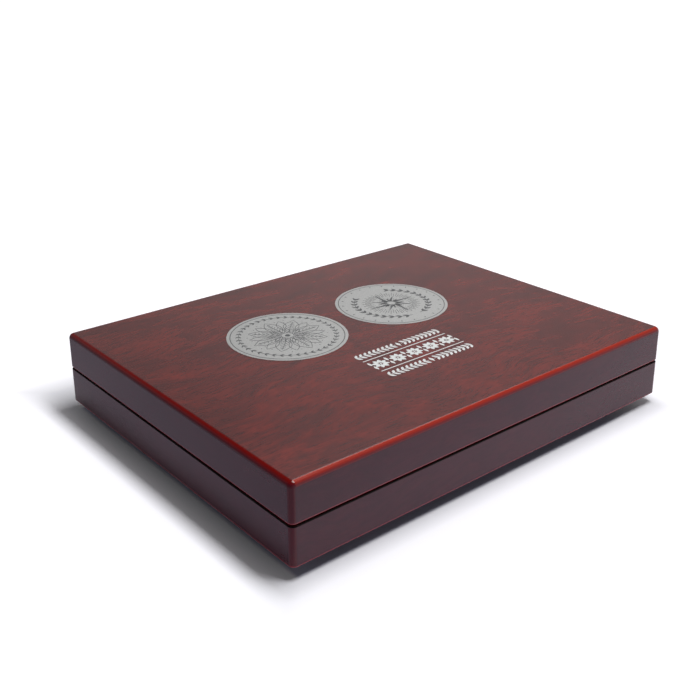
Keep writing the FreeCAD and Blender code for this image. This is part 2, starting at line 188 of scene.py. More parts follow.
# %% Helpers for groups and materials
def new_group(name, inputs, outputs):
    tree = bpy.data.node_groups.new(name, "ShaderNodeTree")
    for title, value in inputs.items():
        kind = {float: "NodeSocketFloat", tuple: "NodeSocketColor", Vector: "NodeSocketVector"}[type(value)]
        socket = tree.interface.new_socket(title, in_out="INPUT", socket_type=kind)
        socket.default_value = value
    for title, kind in outputs.items():
        tree.interface.new_socket(title, in_out="OUTPUT", socket_type="NodeSocket" + kind)
    return tree, tree.nodes.new("NodeGroupInput").outputs, tree.nodes.new("NodeGroupOutput").inputs


def place_group(tree, group, **inputs):
    made = tree.nodes.new("ShaderNodeGroup")
    made.node_tree = group
    for name, value in inputs.items():
        socket = made.inputs[name.replace("_", " ")]
        if isinstance(value, bpy.types.NodeSocket):
            tree.links.new(value, socket)
        else:
            socket.default_value = value
    return made.outputs


def new_material(name, **values):
    """A material with one Principled shader, whose plain values are given by name."""
    material = bpy.data.materials.new(name)
    material.use_nodes = True
    shader = material.node_tree.nodes["Principled BSDF"]
    for title, value in values.items():
        shader.inputs[title.replace("_", " ")].default_value = value
    return material, material.node_tree, shader


def join(tree, output, shader, title):
    tree.links.new(output, shader.inputs[title])


def bumped(tree, shader, height, depth):
    """Feeds a height from 0 to 1 through a Bump node, with the given depth in metres."""
    bump = put(tree, "Bump", None, Height=height, Distance=depth, Strength=1.0)
    join(tree, bump.outputs["Normal"], shader, "Normal")


print("group and material helpers ready")

# %% [markdown]
# The camera sees a plain white room. Reflections see a room that is white at the level of the table, a soft
# grey above it and dark overhead, as in a studio with a high ceiling. That grey is what lies on the lid as
# a veil. Towards the left the room gets darker, which thins the veil on the left part of the lid and keeps
# the rounded left edge a deep red, and it is a little darker at the far right. A reflector card high at the
# right and the back draws the thin bright line along the rounded front edge. Light on a surface comes from
# the same room without these, at a lower share.

# %% White room
ROOM_GREY = 0.60
CEILING_GREY = 0.06
WALL_FOOT = (0.02, 0.16)
WALL_TOP = (0.45, 0.53)
LEFT_DIM = 0.80
LEFT_FROM = (-0.1, -0.7)
RIGHT_DIM = 0.20
RIGHT_FROM = (0.58, 0.80)
VEIL_DIM = 0.28
VEIL_FROM = (0.60, 0.38)
CARD_LEVEL = 3.4
CARD_RIGHT = (0.35, 0.50)
CARD_BACK = (0.20, 0.40)
CARD_FOOT = (0.55, 0.61)
FILL_SHARE = 0.76


def chosen(tree, factor, first, second):
    """The first number where the factor is 0, and the second where it is 1."""
    return put(tree, "Mix", {"data_type": "FLOAT"}, n0=factor, n2=first, n3=second).outputs[0]


world = bpy.data.worlds.new("white_room")
world.use_nodes = True
bpy.context.scene.world = world
tree = world.node_tree
path = put(tree, "LightPath").outputs
toward = put(tree, "TexCoord").outputs["Generated"]
right, back, up = put(tree, "SeparateXYZ", None, Vector=toward).outputs

wall = less(tree, ramped(tree, up, *WALL_FOOT), 1 - ROOM_GREY)
overhead = times(tree, ramped(tree, up, *WALL_TOP), ROOM_GREY - CEILING_GREY)
room = maths(tree, "SUBTRACT", wall, overhead)

shade = less(tree, ramped(tree, right, *LEFT_FROM), LEFT_DIM)
shade = maths(tree, "SUBTRACT", shade, times(tree, ramped(tree, right, *RIGHT_FROM), RIGHT_DIM))
shade = times(tree, shade, less(tree, ramped(tree, right, *VEIL_FROM), VEIL_DIM))
card = CARD_LEVEL
for direction, span in ((right, CARD_RIGHT), (back, CARD_BACK), (up, CARD_FOOT)):
    card = times(tree, ramped(tree, direction, *span), card)
mirrored = maths(tree, "ADD", times(tree, room, shade), card)

straight = maths(tree, "ADD", path["Is Camera Ray"], path["Is Transmission Ray"], clamp=True)
lit = chosen(tree, path["Is Glossy Ray"], times(tree, room, FILL_SHARE), mirrored)
background = tree.nodes["Background"]
background.inputs["Color"].default_value = (1, 1, 1, 1)
tree.links.new(chosen(tree, straight, lit, 1.0), background.inputs["Strength"])

print("white room:", len(tree.nodes), "nodes")

# %% [markdown]
# The table is one large plane. It is a stage, not part of the case, and it keeps the shadow. Close under
# the case its white is toned down to a bluish grey, which makes the narrow dark core of the shadow, and
# this core fades out towards the right end. To the left of the case the table is darker for every ray but
# the camera's, so that the left side reads as the shaded one.

# %% Table
TABLE_HALF_WIDTH = 12.0
TABLE_DROP = 0.0001
TABLE_WHITE = (0.94, 0.94, 0.99, 1)
CORE_DARK = (0.44, 0.44, 0.56, 1)
CORE_FROM = (-0.0025, -0.006)
CORE_RIGHT = (-0.006, -0.055)
TABLE_DIM = (0.52, 0.49, 0.59, 1)
TABLE_DIM_FROM = (-0.150, -0.175)

table_mesh = bpy.data.meshes.new("table")
corners = [(x * TABLE_HALF_WIDTH, y * TABLE_HALF_WIDTH) for x, y in ((-1, -1), (1, -1), (1, 1), (-1, 1))]
table_mesh.from_pydata([(x, y, -TABLE_DROP) for x, y in corners], [], [(0, 1, 2, 3)])
table = bpy.data.objects.new("table", table_mesh)
bpy.context.scene.collection.objects.link(table)

table_material, tree, shader = new_material("white_table", Roughness=1.0)
shader.inputs["Specular IOR Level"].default_value = 0.0
table_mesh.materials.append(table_material)
place = place_in_object(tree)
across = put(tree, "SeparateXYZ", None, Vector=place).outputs
path = put(tree, "LightPath").outputs
dim = times(tree, ramped(tree, across[0], *TABLE_DIM_FROM), less(tree, path["Is Camera Ray"]))
beside = []
for axis in (0, 1):
    beside.append(maths(tree, "SUBTRACT", maths(tree, "ABSOLUTE", across[axis]), cad_box[1][axis]))
past_right = maths(tree, "SUBTRACT", across[0], cad_box[1][0])
core = ramped(tree, maths(tree, "MAXIMUM", *beside), *CORE_FROM)
core = times(tree, core, ramped(tree, past_right, *CORE_RIGHT))
plain = mixed(tree, core, TABLE_WHITE, CORE_DARK)
join(tree, mixed(tree, dim, plain, TABLE_DIM), shader, "Base Color")

print("table:", 2 * TABLE_HALF_WIDTH, "m wide")

# %% [markdown]
# The soft box lights the table less and less away from the case, where the photograph stays white. So the
# table gets a glow that only the camera, reflections and glass see: as much as the light has fallen off
# there. A small flat lamp lights a level plane with the fourth power of the cosine, which is where the
# power of -2 comes from. Under the case a glow would thin the shadow, so it sets in at the edge of the case
# and is full 34 mm away. At the right it sets in 16 mm sooner, and behind the case 28 mm later.

# %% Glow of the table
TABLE_LEVEL = 1.17
TABLE_FILL = 0.158
GLOW_FROM = (-0.004, 0.034)
GLOW_BACK = 0.028
GLOW_RIGHT = 0.016
GLOW_DIM = 0.75
GLOW_TINT = (0.985, 0.965, 1.0, 1)

under_box = (SOFT_BOX_PLACE.x, SOFT_BOX_PLACE.y, 0)
aside = put(tree, "VectorMath", {"operation": "DISTANCE"}, n0=place, n1=under_box).outputs["Value"]
ratio = maths(tree, "DIVIDE", aside, SOFT_BOX_PLACE.z)
falloff = maths(tree, "POWER", maths(tree, "ADD", times(tree, ratio, ratio), 1.0), -2.0)
box_at_table = SOFT_BOX_LEVEL * box_distance ** 4 / box_height ** 2 / SOFT_BOX_PLACE.z ** 2
light = maths(tree, "ADD", times(tree, falloff, box_at_table), TABLE_FILL)
lacking = maths(tree, "SUBTRACT", TABLE_LEVEL, times(tree, light, TABLE_WHITE[0]), clamp=True)

in_front = maths(tree, "SUBTRACT", cad_box[0][1], across[1])
behind = maths(tree, "SUBTRACT", across[1], cad_box[1][1] + GLOW_BACK)
outside = maths(tree, "MAXIMUM", beside[0], maths(tree, "MAXIMUM", in_front, behind))
outside = maths(tree, "MAXIMUM", outside, maths(tree, "ADD", past_right, GLOW_RIGHT))
seen = maths(tree, "ADD", path["Is Camera Ray"], path["Is Glossy Ray"], clamp=True)
seen = maths(tree, "ADD", seen, path["Is Transmission Ray"], clamp=True)
glow = times(tree, times(tree, lacking, ramped(tree, outside, *GLOW_FROM)), seen)
glow = times(tree, glow, less(tree, dim, GLOW_DIM))
shader.inputs["Emission Color"].default_value = GLOW_TINT
join(tree, glow, shader, "Emission Strength")

print("the soft box lights the table at up to", round(box_at_table, 3))

# %% [markdown]
# The case wears a red mahogany finish: soft dark smudges in a red stain, brighter curly veins between them,
# and fine dark pores along the grain. A photograph of wood would do it, but noise in space has no seams and
# needs no unwrapping, so the figure runs on from board to rail. The place is bent twice before it is used,
# widely and then closely, which gives the swirls that root wood has. A vein is where a noise crosses its
# middle value. The group takes its place in space as an input, so that the side rails can turn their grain
# by 90 degrees. Each grain below says how often its noise repeats per metre, along the wood and across it.

# %% Shared effect: mahogany figure
WIDE_BEND = 9
CLOSE_BEND = 42
CLOSE_SWIRL = 0.016
BROAD_GRAIN = (17, 34, 34)
FIBRE_GRAIN = (38, 340, 340)
BROAD_SHARE = 0.55
SMUDGE_FROM = (0.35, 0.65)
VEIN_GRAIN = (16, 50, 50)
VEIN_WIDTH = 0.09
VEIN_SHARE = 0.6
PORE_GRAIN = (90, 900, 900)
PORE_FROM = (0.50, 0.68)
GROWTH_GRAIN = (4, 9, 9)
GROWTH_WIDTH = 0.5
GROWTH_SHARE = 0.28

figure_group, figure_in, figure_out = new_group(
    "mahogany_figure",
    {
        "Place": Vector((0, 0, 0)),
        "Dark Stain": (0.03, 0.005, 0.005, 1),
        "Red Stain": (0.15, 0.012, 0.010, 1),
        "Vein": (0.22, 0.015, 0.010, 1),
        "Pore": (0.02, 0.004, 0.006, 1),
        "Swirl": 0.05,
        "Growth Lines": 18.0,
        "Pores": 0.5,
    },
    {"Color": "Color"},
)


def bend(tree, place, scale, amount):
    shift = cloud(tree, place, scale).outputs["Color"]
    shift = put(tree, "VectorMath", {"operation": "SUBTRACT"}, n0=shift, n1=(0.5, 0.5, 0.5)).outputs[0]
    shift = put(tree, "VectorMath", {"operation": "SCALE"}, n0=shift, Scale=amount).outputs[0]
    return put(tree, "VectorMath", {"operation": "ADD"}, n0=place, n1=shift).outputs[0]


tree = figure_group
wide = bend(tree, figure_in["Place"], WIDE_BEND, figure_in["Swirl"])
close = bend(tree, wide, CLOSE_BEND, CLOSE_SWIRL)
broad = times(tree, drawn_out(tree, close, BROAD_GRAIN, 4.0, 0.6), BROAD_SHARE)
fibre = times(tree, drawn_out(tree, wide, FIBRE_GRAIN, 3.0, 0.65), 1 - BROAD_SHARE)
smudge = ramped(tree, maths(tree, "ADD", broad, fibre), *SMUDGE_FROM)
crossing = maths(tree, "SUBTRACT", drawn_out(tree, close, VEIN_GRAIN, 4.0, 0.6), 0.5)
vein = less(tree, ramped(tree, maths(tree, "ABSOLUTE", crossing), 0.0, VEIN_WIDTH))
pores = ramped(tree, drawn_out(tree, wide, PORE_GRAIN, 2.0, 0.65), *PORE_FROM)
growth = times(tree, drawn_out(tree, wide, GROWTH_GRAIN, 1.5), figure_in["Growth Lines"])
growth = times(tree, less(tree, ramped(tree, maths(tree, "FRACT", growth), 0.0, GROWTH_WIDTH)), GROWTH_SHARE)
stain = mixed(tree, smudge, figure_in["Dark Stain"], figure_in["Red Stain"])
stain = mixed(tree, growth, stain, figure_in["Dark Stain"])
stain = mixed(tree, times(tree, vein, times(tree, smudge, VEIN_SHARE)), stain, figure_in["Vein"])
stain = mixed(tree, times(tree, pores, figure_in["Pores"]), stain, figure_in["Pore"])
tree.links.new(stain, figure_out["Color"])

print("mahogany figure:", len(tree.nodes), "nodes")

# %% [markdown]
# Stain hardly takes on a sanded edge, and the lacquer pulls thin there, so the rounded upper edges of the
# case glow in a clear red. The edges can be found from the normal alone: on a flat side one of its three
# parts is 1, and on a rounding none is. Mask runs from 0 on the flats to 1 on the roundings. Upper is that
# mask for the roundings that face up, and Lower for those that face down. Seam picks those that turn into
# the gap between lid and base. The last three outputs only say how a face stands: Left towards the left,
# Level like a table, and Upright like a wall.

# %% Shared effect: edge mask
UPPER_RISE = (0.12, 1.0)
LOWER_RISE = (-0.02, -0.20)
SEAM_RISE_ABOVE = (0.02, 0.30)
SEAM_RISE_BELOW = (-0.45, -0.75)
LEFT_TURN = (0.0, -0.2)
LEVEL_RISE = (0.75, 0.999)
UPRIGHT_RISE = (0.90, 0.60)

edge_group, edge_in, edge_out = new_group(
    "edge_mask",
    {"From": 0.003, "To": 0.03},
    {title: "Float" for title in ("Mask", "Upper", "Lower", "Seam", "Left", "Level", "Upright")},
)
tree = edge_group
normal = put(tree, "TexCoord").outputs["Normal"]
rightward, _, rise = put(tree, "SeparateXYZ", None, Vector=normal).outputs
normal = put(tree, "VectorMath", {"operation": "ABSOLUTE"}, n0=normal).outputs[0]
parts = put(tree, "SeparateXYZ", None, Vector=normal).outputs
largest = maths(tree, "MAXIMUM", maths(tree, "MAXIMUM", parts[0], parts[1]), parts[2])
mask = ramped(tree, less(tree, largest), edge_in["From"], edge_in["To"])
facing_seam = [ramped(tree, rise, *span) for span in (SEAM_RISE_ABOVE, SEAM_RISE_BELOW)]
results = {
    "Mask": mask,
    "Upper": times(tree, mask, ramped(tree, rise, *UPPER_RISE)),
    "Lower": times(tree, mask, ramped(tree, rise, *LOWER_RISE)),
    "Seam": times(tree, mask, maths(tree, "MAXIMUM", *facing_seam)),
    "Left": ramped(tree, rightward, *LEFT_TURN),
    "Level": ramped(tree, rise, *LEVEL_RISE),
    "Upright": ramped(tree, maths(tree, "ABSOLUTE", rise), *UPRIGHT_RISE),
}
for title, result in results.items():
    tree.links.new(result, edge_out[title])

print("edge mask:", len(tree.nodes), "nodes")

# %% [markdown]
# Sprayed lacquer is never quite level. It has a faint orange-peel, a few millimetres from bump to bump,
# which breaks up reflections. The same effect at other sizes serves metal, rubber and print: a fine
# unevenness and a slow drift of the gloss.

# %% Shared effect: surface unevenness
SLOW_SHARE = 0.12

uneven_group, uneven_in, uneven_out = new_group(
    "surface_unevenness",
    {"Size": 0.003, "Gloss": 0.3, "Drift": 0.05},
    {"Height": "Float", "Roughness": "Float"},
)
tree = uneven_group
place = place_in_object(tree)
scale = maths(tree, "DIVIDE", 1.0, uneven_in["Size"])
slow = cloud(tree, place, times(tree, scale, SLOW_SHARE), 3.0).outputs[0]
drift = times(tree, maths(tree, "SUBTRACT", slow, 0.5), uneven_in["Drift"])
tree.links.new(cloud(tree, place, scale).outputs[0], uneven_out["Height"])
tree.links.new(maths(tree, "ADD", drift, uneven_in["Gloss"]), uneven_out["Roughness"])

print("surface unevenness:", len(tree.nodes), "nodes")

# %% [markdown]
# The lacquered wood is the figure, the red of the edges and the orange-peel, under a gloss that comes from
# the index of refraction alone. At a low angle that gloss turns the lid greyer towards the back, as in the
# photograph. Upright faces get a darker copy of the stain than the top of the lid, as painted shade, so the
# stain is mixed by how level a face is. The lid board gets the full red edge, with painted shade making it
# deeper at the left. On the rails the upright corners get a share of it, the lower edge of each box a thin
# pink line that is painted reflection of the white table, and the roundings at the seam are nearly black
# with painted shade, and matt.

# %% Lacquered wood
EDGE_RED = (0.33, 0.028, 0.016, 1)
# The rounded left edge is a darker red as painted shade.
LEFT_EDGE_PAINTED_SHADE = (0.14, 0.002, 0.001, 1)
CORNER_SHARE = 0.28
# Pink painted reflection of the white table on the lower edges.
LOWER_PAINTED_REFLECTION = (0.28, 0.030, 0.048, 1)
LOWER_LINE = (0.0012, 0.0005)
LOWER_END = (-0.0004, -0.0001)
# Painted shade for the roundings that turn into the seam between lid and base.
SEAM_PAINTED_SHADE = (0.003, 0.001, 0.001, 1)
LACQUER_GLOSS = 0.24
LACQUER_DRIFT = 0.06
LACQUER_INDEX = 1.38
PEEL_SIZE = 0.004
PEEL_DEPTH = 0.000003
TOP_STAIN = {
    "Dark_Stain": (0.068, 0.011, 0.011, 1),
    "Red_Stain": (0.122, 0.014, 0.012, 1),
    "Vein": (0.180, 0.018, 0.013, 1),
}
# Upright faces get this darker copy of the stain as painted shade.
SIDE_STAIN_PAINTED_SHADE = {
    "Dark_Stain": (0.043, 0.005, 0.017, 1),
    "Red_Stain": (0.057, 0.006, 0.019, 1),
    "Vein": (0.066, 0.007, 0.018, 1),
    "Pores": 0.15,
}

lower_edges = [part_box(name)[0].z for name in ("base_front_rail", "lid_front_rail")]


def on_rails(tree, place, edge, colour, roughness):
    """Adds a pink line of painted reflection at the lower edges, and dark matt painted shade at the seam, to
    a rail's colour and roughness.
    """
    rise = put(tree, "SeparateXYZ", None, Vector=place).outputs[2]
    lines = []
    for level in lower_edges:
        above = maths(tree, "SUBTRACT", rise, level)
        lines.append(times(tree, ramped(tree, above, *LOWER_LINE), ramped(tree, above, *LOWER_END)))
    line = times(tree, maths(tree, "MAXIMUM", *lines), edge["Upright"])
    # The pink line along the lower edges is painted reflection.
    colour = mixed(tree, maths(tree, "MAXIMUM", line, edge["Lower"]), colour, LOWER_PAINTED_REFLECTION)
    # The roundings at the seam are painted nearly black as shade.
    colour = mixed(tree, edge["Seam"], colour, SEAM_PAINTED_SHADE)
    return colour, maths(tree, "MAXIMUM", roughness, edge["Seam"])


def lacquered(name, crosswise, rail):
    material, tree, shader = new_material(name, IOR=LACQUER_INDEX)
    place = place_in_object(tree)
    if crosswise:
        settings = {"rotation_type": "Z_AXIS"}
        place = put(tree, "VectorRotate", settings, Vector=place, Angle=math.radians(90)).outputs[0]
    edge = place_group(tree, edge_group)
    top = place_group(tree, figure_group, Place=place, **TOP_STAIN)
    side = place_group(tree, figure_group, Place=place, **SIDE_STAIN_PAINTED_SHADE)
    surface = place_group(tree, uneven_group, Size=PEEL_SIZE, Gloss=LACQUER_GLOSS, Drift=LACQUER_DRIFT)
    # Level faces take the top stain and upright faces the darker copy, which is painted shade.
    stained = mixed(tree, edge["Level"], side["Color"], top["Color"])
    red = times(tree, edge["Mask"], CORNER_SHARE)
    if not rail:
        red = maths(tree, "MAXIMUM", red, edge["Upper"])
    # Left-facing edges take the darker red, which is painted shade.
    colour = mixed(tree, red, stained, mixed(tree, edge["Left"], EDGE_RED, LEFT_EDGE_PAINTED_SHADE))
    roughness = surface["Roughness"]
    if rail:
        colour, roughness = on_rails(tree, place, edge, colour, roughness)
    join(tree, colour, shader, "Base Color")
    join(tree, roughness, shader, "Roughness")
    bumped(tree, shader, surface["Height"], PEEL_DEPTH)
    return material


print("lower edges in mm:", [round(level / MM, 2) for level in lower_edges])

# %% [markdown]
# The finish goes on three groups of solids. The lid board and the front and back rails have their grain
# along x, and the side rails have it turned.

# %% Lacquer on board and rails
def finish_nodes(material, names):
    for name in names:
        mesh = nodes[name].data
        mesh.materials.clear()
        mesh.materials.append(material)
    print(material.name, "on", len(names), "nodes")


long_rails = [f"{part}_{end}_rail" for part in ("base", "lid") for end in ("front", "back")]
side_rails = [f"{part}_{hand}_rail" for part in ("base", "lid") for hand in ("left", "right")]
finish_nodes(lacquered("lacquered_lid_board", crosswise=False, rail=False), ["lid_top_board"])
finish_nodes(lacquered("lacquered_long_rails", crosswise=False, rail=True), long_rails)
finish_nodes(lacquered("lacquered_side_rails", crosswise=True, rail=True), side_rails)

# %% [markdown]
# The board under the case is only stained, and stays matt. The card behind the lining is plain, with a few
# fibres. Both need little more than noise, stretched along the grain for the board.

# %% Underside and card
UNDERSIDE_DARK = (0.020, 0.009, 0.008, 1)
UNDERSIDE_LIGHT = (0.045, 0.018, 0.014, 1)
UNDERSIDE_GRAIN = (40, 700, 700)
CARD_DARK = (0.42, 0.37, 0.29, 1)
CARD_LIGHT = (0.58, 0.53, 0.44, 1)
CARD_GRAIN = (900, 1400, 1400)
FLECK_FROM = (0.35, 0.65)
FLECK_DEPTH = 0.0001


def flecked(name, dark, light, grain, roughness):
    material, tree, shader = new_material(name, Roughness=roughness)
    fleck = drawn_out(tree, place_in_object(tree), grain, 4.0, 0.6)
    join(tree, mixed(tree, ramped(tree, fleck, *FLECK_FROM), dark, light), shader, "Base Color")
    bumped(tree, shader, fleck, FLECK_DEPTH)
    return material


underside = flecked("stained_underside", UNDERSIDE_DARK, UNDERSIDE_LIGHT, UNDERSIDE_GRAIN, 0.75)
finish_nodes(underside, ["base_bottom_board"])
finish_nodes(flecked("plain_card", CARD_DARK, CARD_LIGHT, CARD_GRAIN, 0.9), ["lining_board"])

# %% [markdown]
# Metals differ in colour, gloss and how they were worked. The hinge leaves are polished brass with faint
# brushing along their length, the pins and screws are plated steel, and the magnets are nickel. The
# brushing is noise that is drawn out along x. The rounded edges are a little brighter, where plating and
# brass are rubbed.

# %% Metals
BRASS = (0.78, 0.53, 0.22, 1)
BRASS_RUBBED = (0.90, 0.68, 0.36, 1)
PLATED = (0.66, 0.52, 0.27, 1)
PLATED_RUBBED = (0.78, 0.68, 0.45, 1)
NICKEL = (0.60, 0.59, 0.56, 1)
NICKEL_RUBBED = (0.76, 0.75, 0.73, 1)
BRUSHING_GRAIN = (120, 2600, 2600)
BRUSHING_SHADE = (0.86, 1.08)
BRUSHING_DEPTH = 0.00001


def metal(name, colour, rubbed, gloss):
    material, tree, shader = new_material(name, Metallic=1.0)
    brushing = drawn_out(tree, place_in_object(tree), BRUSHING_GRAIN, 2.0)
    edge = place_group(tree, edge_group)
    surface = place_group(tree, uneven_group, Size=0.0015, Gloss=gloss, Drift=0.15)
    worn = mixed(tree, edge["Mask"], colour, rubbed)
    low, high = BRUSHING_SHADE
    shade = put(tree, "MapRange", None, Value=brushing, To_Min=low, To_Max=high).outputs[0]
    join(tree, mixed(tree, 1.0, worn, shade, "MULTIPLY"), shader, "Base Color")
    join(tree, surface["Roughness"], shader, "Roughness")
    bumped(tree, shader, brushing, BRUSHING_DEPTH)
    return material


leaves = [f"hinge_{hand}_{part}_leaf" for hand in ("left", "right") for part in ("base", "lid")]
fasteners = ["hinge_left_pin", "hinge_right_pin", "hinge_screws_base", "hinge_screws_lid"]
magnets = [f"{part}_magnet_{hand}" for part in ("base", "lid") for hand in ("left", "right")]
finish_nodes(metal("polished_brass", BRASS, BRASS_RUBBED, 0.32), leaves)
finish_nodes(metal("plated_steel", PLATED, PLATED_RUBBED, 0.30), fasteners)
finish_nodes(metal("nickel", NICKEL, NICKEL_RUBBED, 0.22), magnets)

# %% [markdown]
# Three finishes are a colour that drifts between two tones, with an unevenness in gloss and height: rubber,
# foil and ink. Feet and bumpers are black rubber, matt, with the dusty grey bloom that rubber gets. The
# discs on the lid are hot-stamped silver foil: not quite half metal and the rest matt, so the white room
# shows in it as one even grey, and a very fine sparkle keeps it from looking like paint.

# %% Rubber and foil
RUBBER = (0.018, 0.018, 0.019, 1)
RUBBER_BLOOM = (0.050, 0.050, 0.052, 1)
BLOOM_FROM = (0.4, 0.75)
RUBBER_DEPTH = 0.00004
FOIL = (0.395, 0.395, 0.39, 1)
FOIL_BRIGHT = (0.465, 0.465, 0.46, 1)
FOIL_METAL = 0.45
SPARKLE_FROM = (0.3, 0.7)
FOIL_DEPTH = 0.000008


def two_tones(tree, shader, mask, first, second, surface, depth):
    """Joins two colours, mixed by the mask, and an uneven surface to the shader."""
    join(tree, mixed(tree, mask, first, second), shader, "Base Color")
    join(tree, surface["Roughness"], shader, "Roughness")
    bumped(tree, shader, surface["Height"], depth)


rubber, tree, shader = new_material("black_rubber")
bloom = ramped(tree, cloud(tree, place_in_object(tree), 160, 4.0, 0.6).outputs[0], *BLOOM_FROM)
surface = place_group(tree, uneven_group, Size=0.0006, Gloss=0.72, Drift=0.1)
two_tones(tree, shader, bloom, RUBBER, RUBBER_BLOOM, surface, RUBBER_DEPTH)
feet = [f"foot_{end}_{hand}" for end in ("front", "back") for hand in ("left", "right")]
finish_nodes(rubber, feet + ["bumper_left", "bumper_right"])

foil, tree, shader = new_material("silver_foil", Metallic=FOIL_METAL)
sparkle = ramped(tree, cloud(tree, place_in_object(tree), 900).outputs[0], *SPARKLE_FROM)
surface = place_group(tree, uneven_group, Size=0.0007, Gloss=0.42, Drift=0.10)
two_tones(tree, shader, sparkle, FOIL, FOIL_BRIGHT, surface, FOIL_DEPTH)
finish_nodes(foil, ["foil_disc_left", "foil_disc_right"])

# %% [markdown]
# Two inks are printed on the lid: a dark grey on the discs, and a soft white for the ornament. Both have a
# slight break in their colour where the layer is thin.

# %% Inks
DARK_INK = (0.050, 0.052, 0.055, 1)
DARK_INK_THIN = (0.085, 0.088, 0.092, 1)
WHITE_INK = (0.70, 0.72, 0.72, 1)
WHITE_INK_THIN = (0.61, 0.63, 0.63, 1)
THIN_FROM = (0.25, 0.75)
INK_DEPTH = 0.00001


def ink(name, colour, thin, gloss):
    material, tree, shader = new_material(name)
    surface = place_group(tree, uneven_group, Size=0.0008, Gloss=gloss, Drift=0.1)
    worn = ramped(tree, surface["Height"], *THIN_FROM)
    two_tones(tree, shader, worn, thin, colour, surface, INK_DEPTH)
    return material


dark_ink = ink("dark_grey_ink", DARK_INK, DARK_INK_THIN, 0.45)
white_ink = ink("white_ink", WHITE_INK, WHITE_INK_THIN, 0.5)

print("inks:", dark_ink.name, "and", white_ink.name)

# %% [markdown]
# The fine lines on the discs and the white ornament are prints with a thickness that a finger can just
# feel. Drawing them as curves with a bevel would make round wires. Here each line is a flat ribbon and each
# filled shape a thin plate, both closed on all sides, so that they also come out well as plain meshes. A
# ribbon is a row of rings with faces between them. The same skin over rings serves later for the velvet
# strips and the foam.

# %% Helpers for closed forms
def add_skin(form, rings, closed=False):
    """Faces from ring to ring. An open row gets a cap at both ends, and a closed one joins its ends."""
    sides = []
    for first, second in zip(rings, rings[1:] + rings[:1] if closed else rings[1:]):
        for this in range(len(first)):
            after = (this + 1) % len(first)
            sides.append(form.faces.new((first[this], first[after], second[after], second[this])))
    if not closed:
        form.faces.new(rings[0][::-1])
        form.faces.new(rings[-1])
    return sides


def add_plate(form, outline, low, high):
    """A closed plate on an outline of (x, y) points, from low to high."""
    bottom = [form.verts.new((x, y, low)) for x, y in outline]
    top = [form.verts.new((x, y, high)) for x, y in outline]
    add_skin(form, [bottom, top])


def add_ribbon(form, points, width, low, high, closed=False):
    """A closed flat ribbon that follows (x, y) points."""
    rings = []
    for this, point in enumerate(points):
        before = points[this - 1] if closed or this else point
        after = points[(this + 1) % len(points)] if closed or this < len(points) - 1 else point
        along = (Vector(after) - Vector(before)).normalized()
        aside = Vector((-along.y, along.x)) * width / 2
        left, right = Vector(point) + aside, Vector(point) - aside
        corners = ((left, high), (left, low), (right, low), (right, high))
        rings.append([form.verts.new((corner.x, corner.y, level)) for corner, level in corners])
    add_skin(form, rings, closed)


def new_piece(name, form, material, body):
    """A mesh object from a bmesh form. Its normals are set outward, and it rides on a body of the case."""
    bmesh.ops.recalc_face_normals(form, faces=form.faces)
    mesh = bpy.data.meshes.new(name)
    form.to_mesh(mesh)
    form.free()
    mesh.materials.append(material)
    piece = bpy.data.objects.new(name, mesh)
    bpy.context.scene.collection.objects.link(piece)
    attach(piece, body)
    return piece


print("helpers for closed forms ready")

# %% [markdown]
# A drawing is a list of lines and filled shapes, made of a few outlines that are turned and repeated:
# circles, pointed leaves and petals. Its sizes are in millimetres from the middle of a disc with a radius
# of 39.5.

# %% Helpers for drawings
INK_HEIGHT = 0.05 * MM
INK_SUNK = 0.02 * MM


def turned(points, angle, centre=(0, 0)):
    """The points, turned about the origin and then moved to a centre."""
    cosine, sine = math.cos(angle), math.sin(angle)
    return [(centre[0] + x * cosine - y * sine, centre[1] + x * sine + y * cosine) for x, y in points]


def circle(radius, count=96, centre=(0, 0)):
    angles = [math.tau * step / count for step in range(count)]
    return [(centre[0] + radius * math.cos(angle), centre[1] + radius * math.sin(angle)) for angle in angles]


def leaf(length, width, steps=6):
    """The outline of a pointed leaf from the origin along x."""
    shares = [step / steps for step in range(steps + 1)]
    upper = [(length * share, width / 2 * math.sin(math.pi * share)) for share in shares]
    lower = [(x, -y) for x, y in upper[-2:0:-1]]
    return upper + lower


def petals(count, length, width, start, first_angle):
    """Outlines of petals that begin at a distance from the middle."""
    shape = [(start + x, y) for x, y in leaf(length, width, 10)]
    return [turned(shape, first_angle + math.tau * step / count) for step in range(count)]


def disc_print(name, disc, lines, plates):
    """Puts lines (points, width, closed) and filled shapes on a disc."""
    low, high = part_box(disc)
    centre = (low + high) / 2
    bottom, top = high.z - INK_SUNK, high.z + INK_HEIGHT
    form = bmesh.new()
    for points, width, closed in lines:
        on_disc = [(centre.x + x * MM, centre.y + y * MM) for x, y in points]
        add_ribbon(form, on_disc, width * MM, bottom, top, closed)
    for points in plates:
        add_plate(form, [(centre.x + x * MM, centre.y + y * MM) for x, y in points], bottom, top)
    new_piece(name, form, dark_ink, "lid")
    print(name, len(lines), "lines and", len(plates), "filled shapes")


print("a leaf has", len(leaf(1, 1)), "points")

# %% [markdown]
# The left disc gets a flower: three rings of outlined petals round a boss, dots between them, and a wreath
# of small leaves along the rim. Each ring is one petal, repeated at even angles. The large petals have a
# rib with veins that get shorter towards the tip.

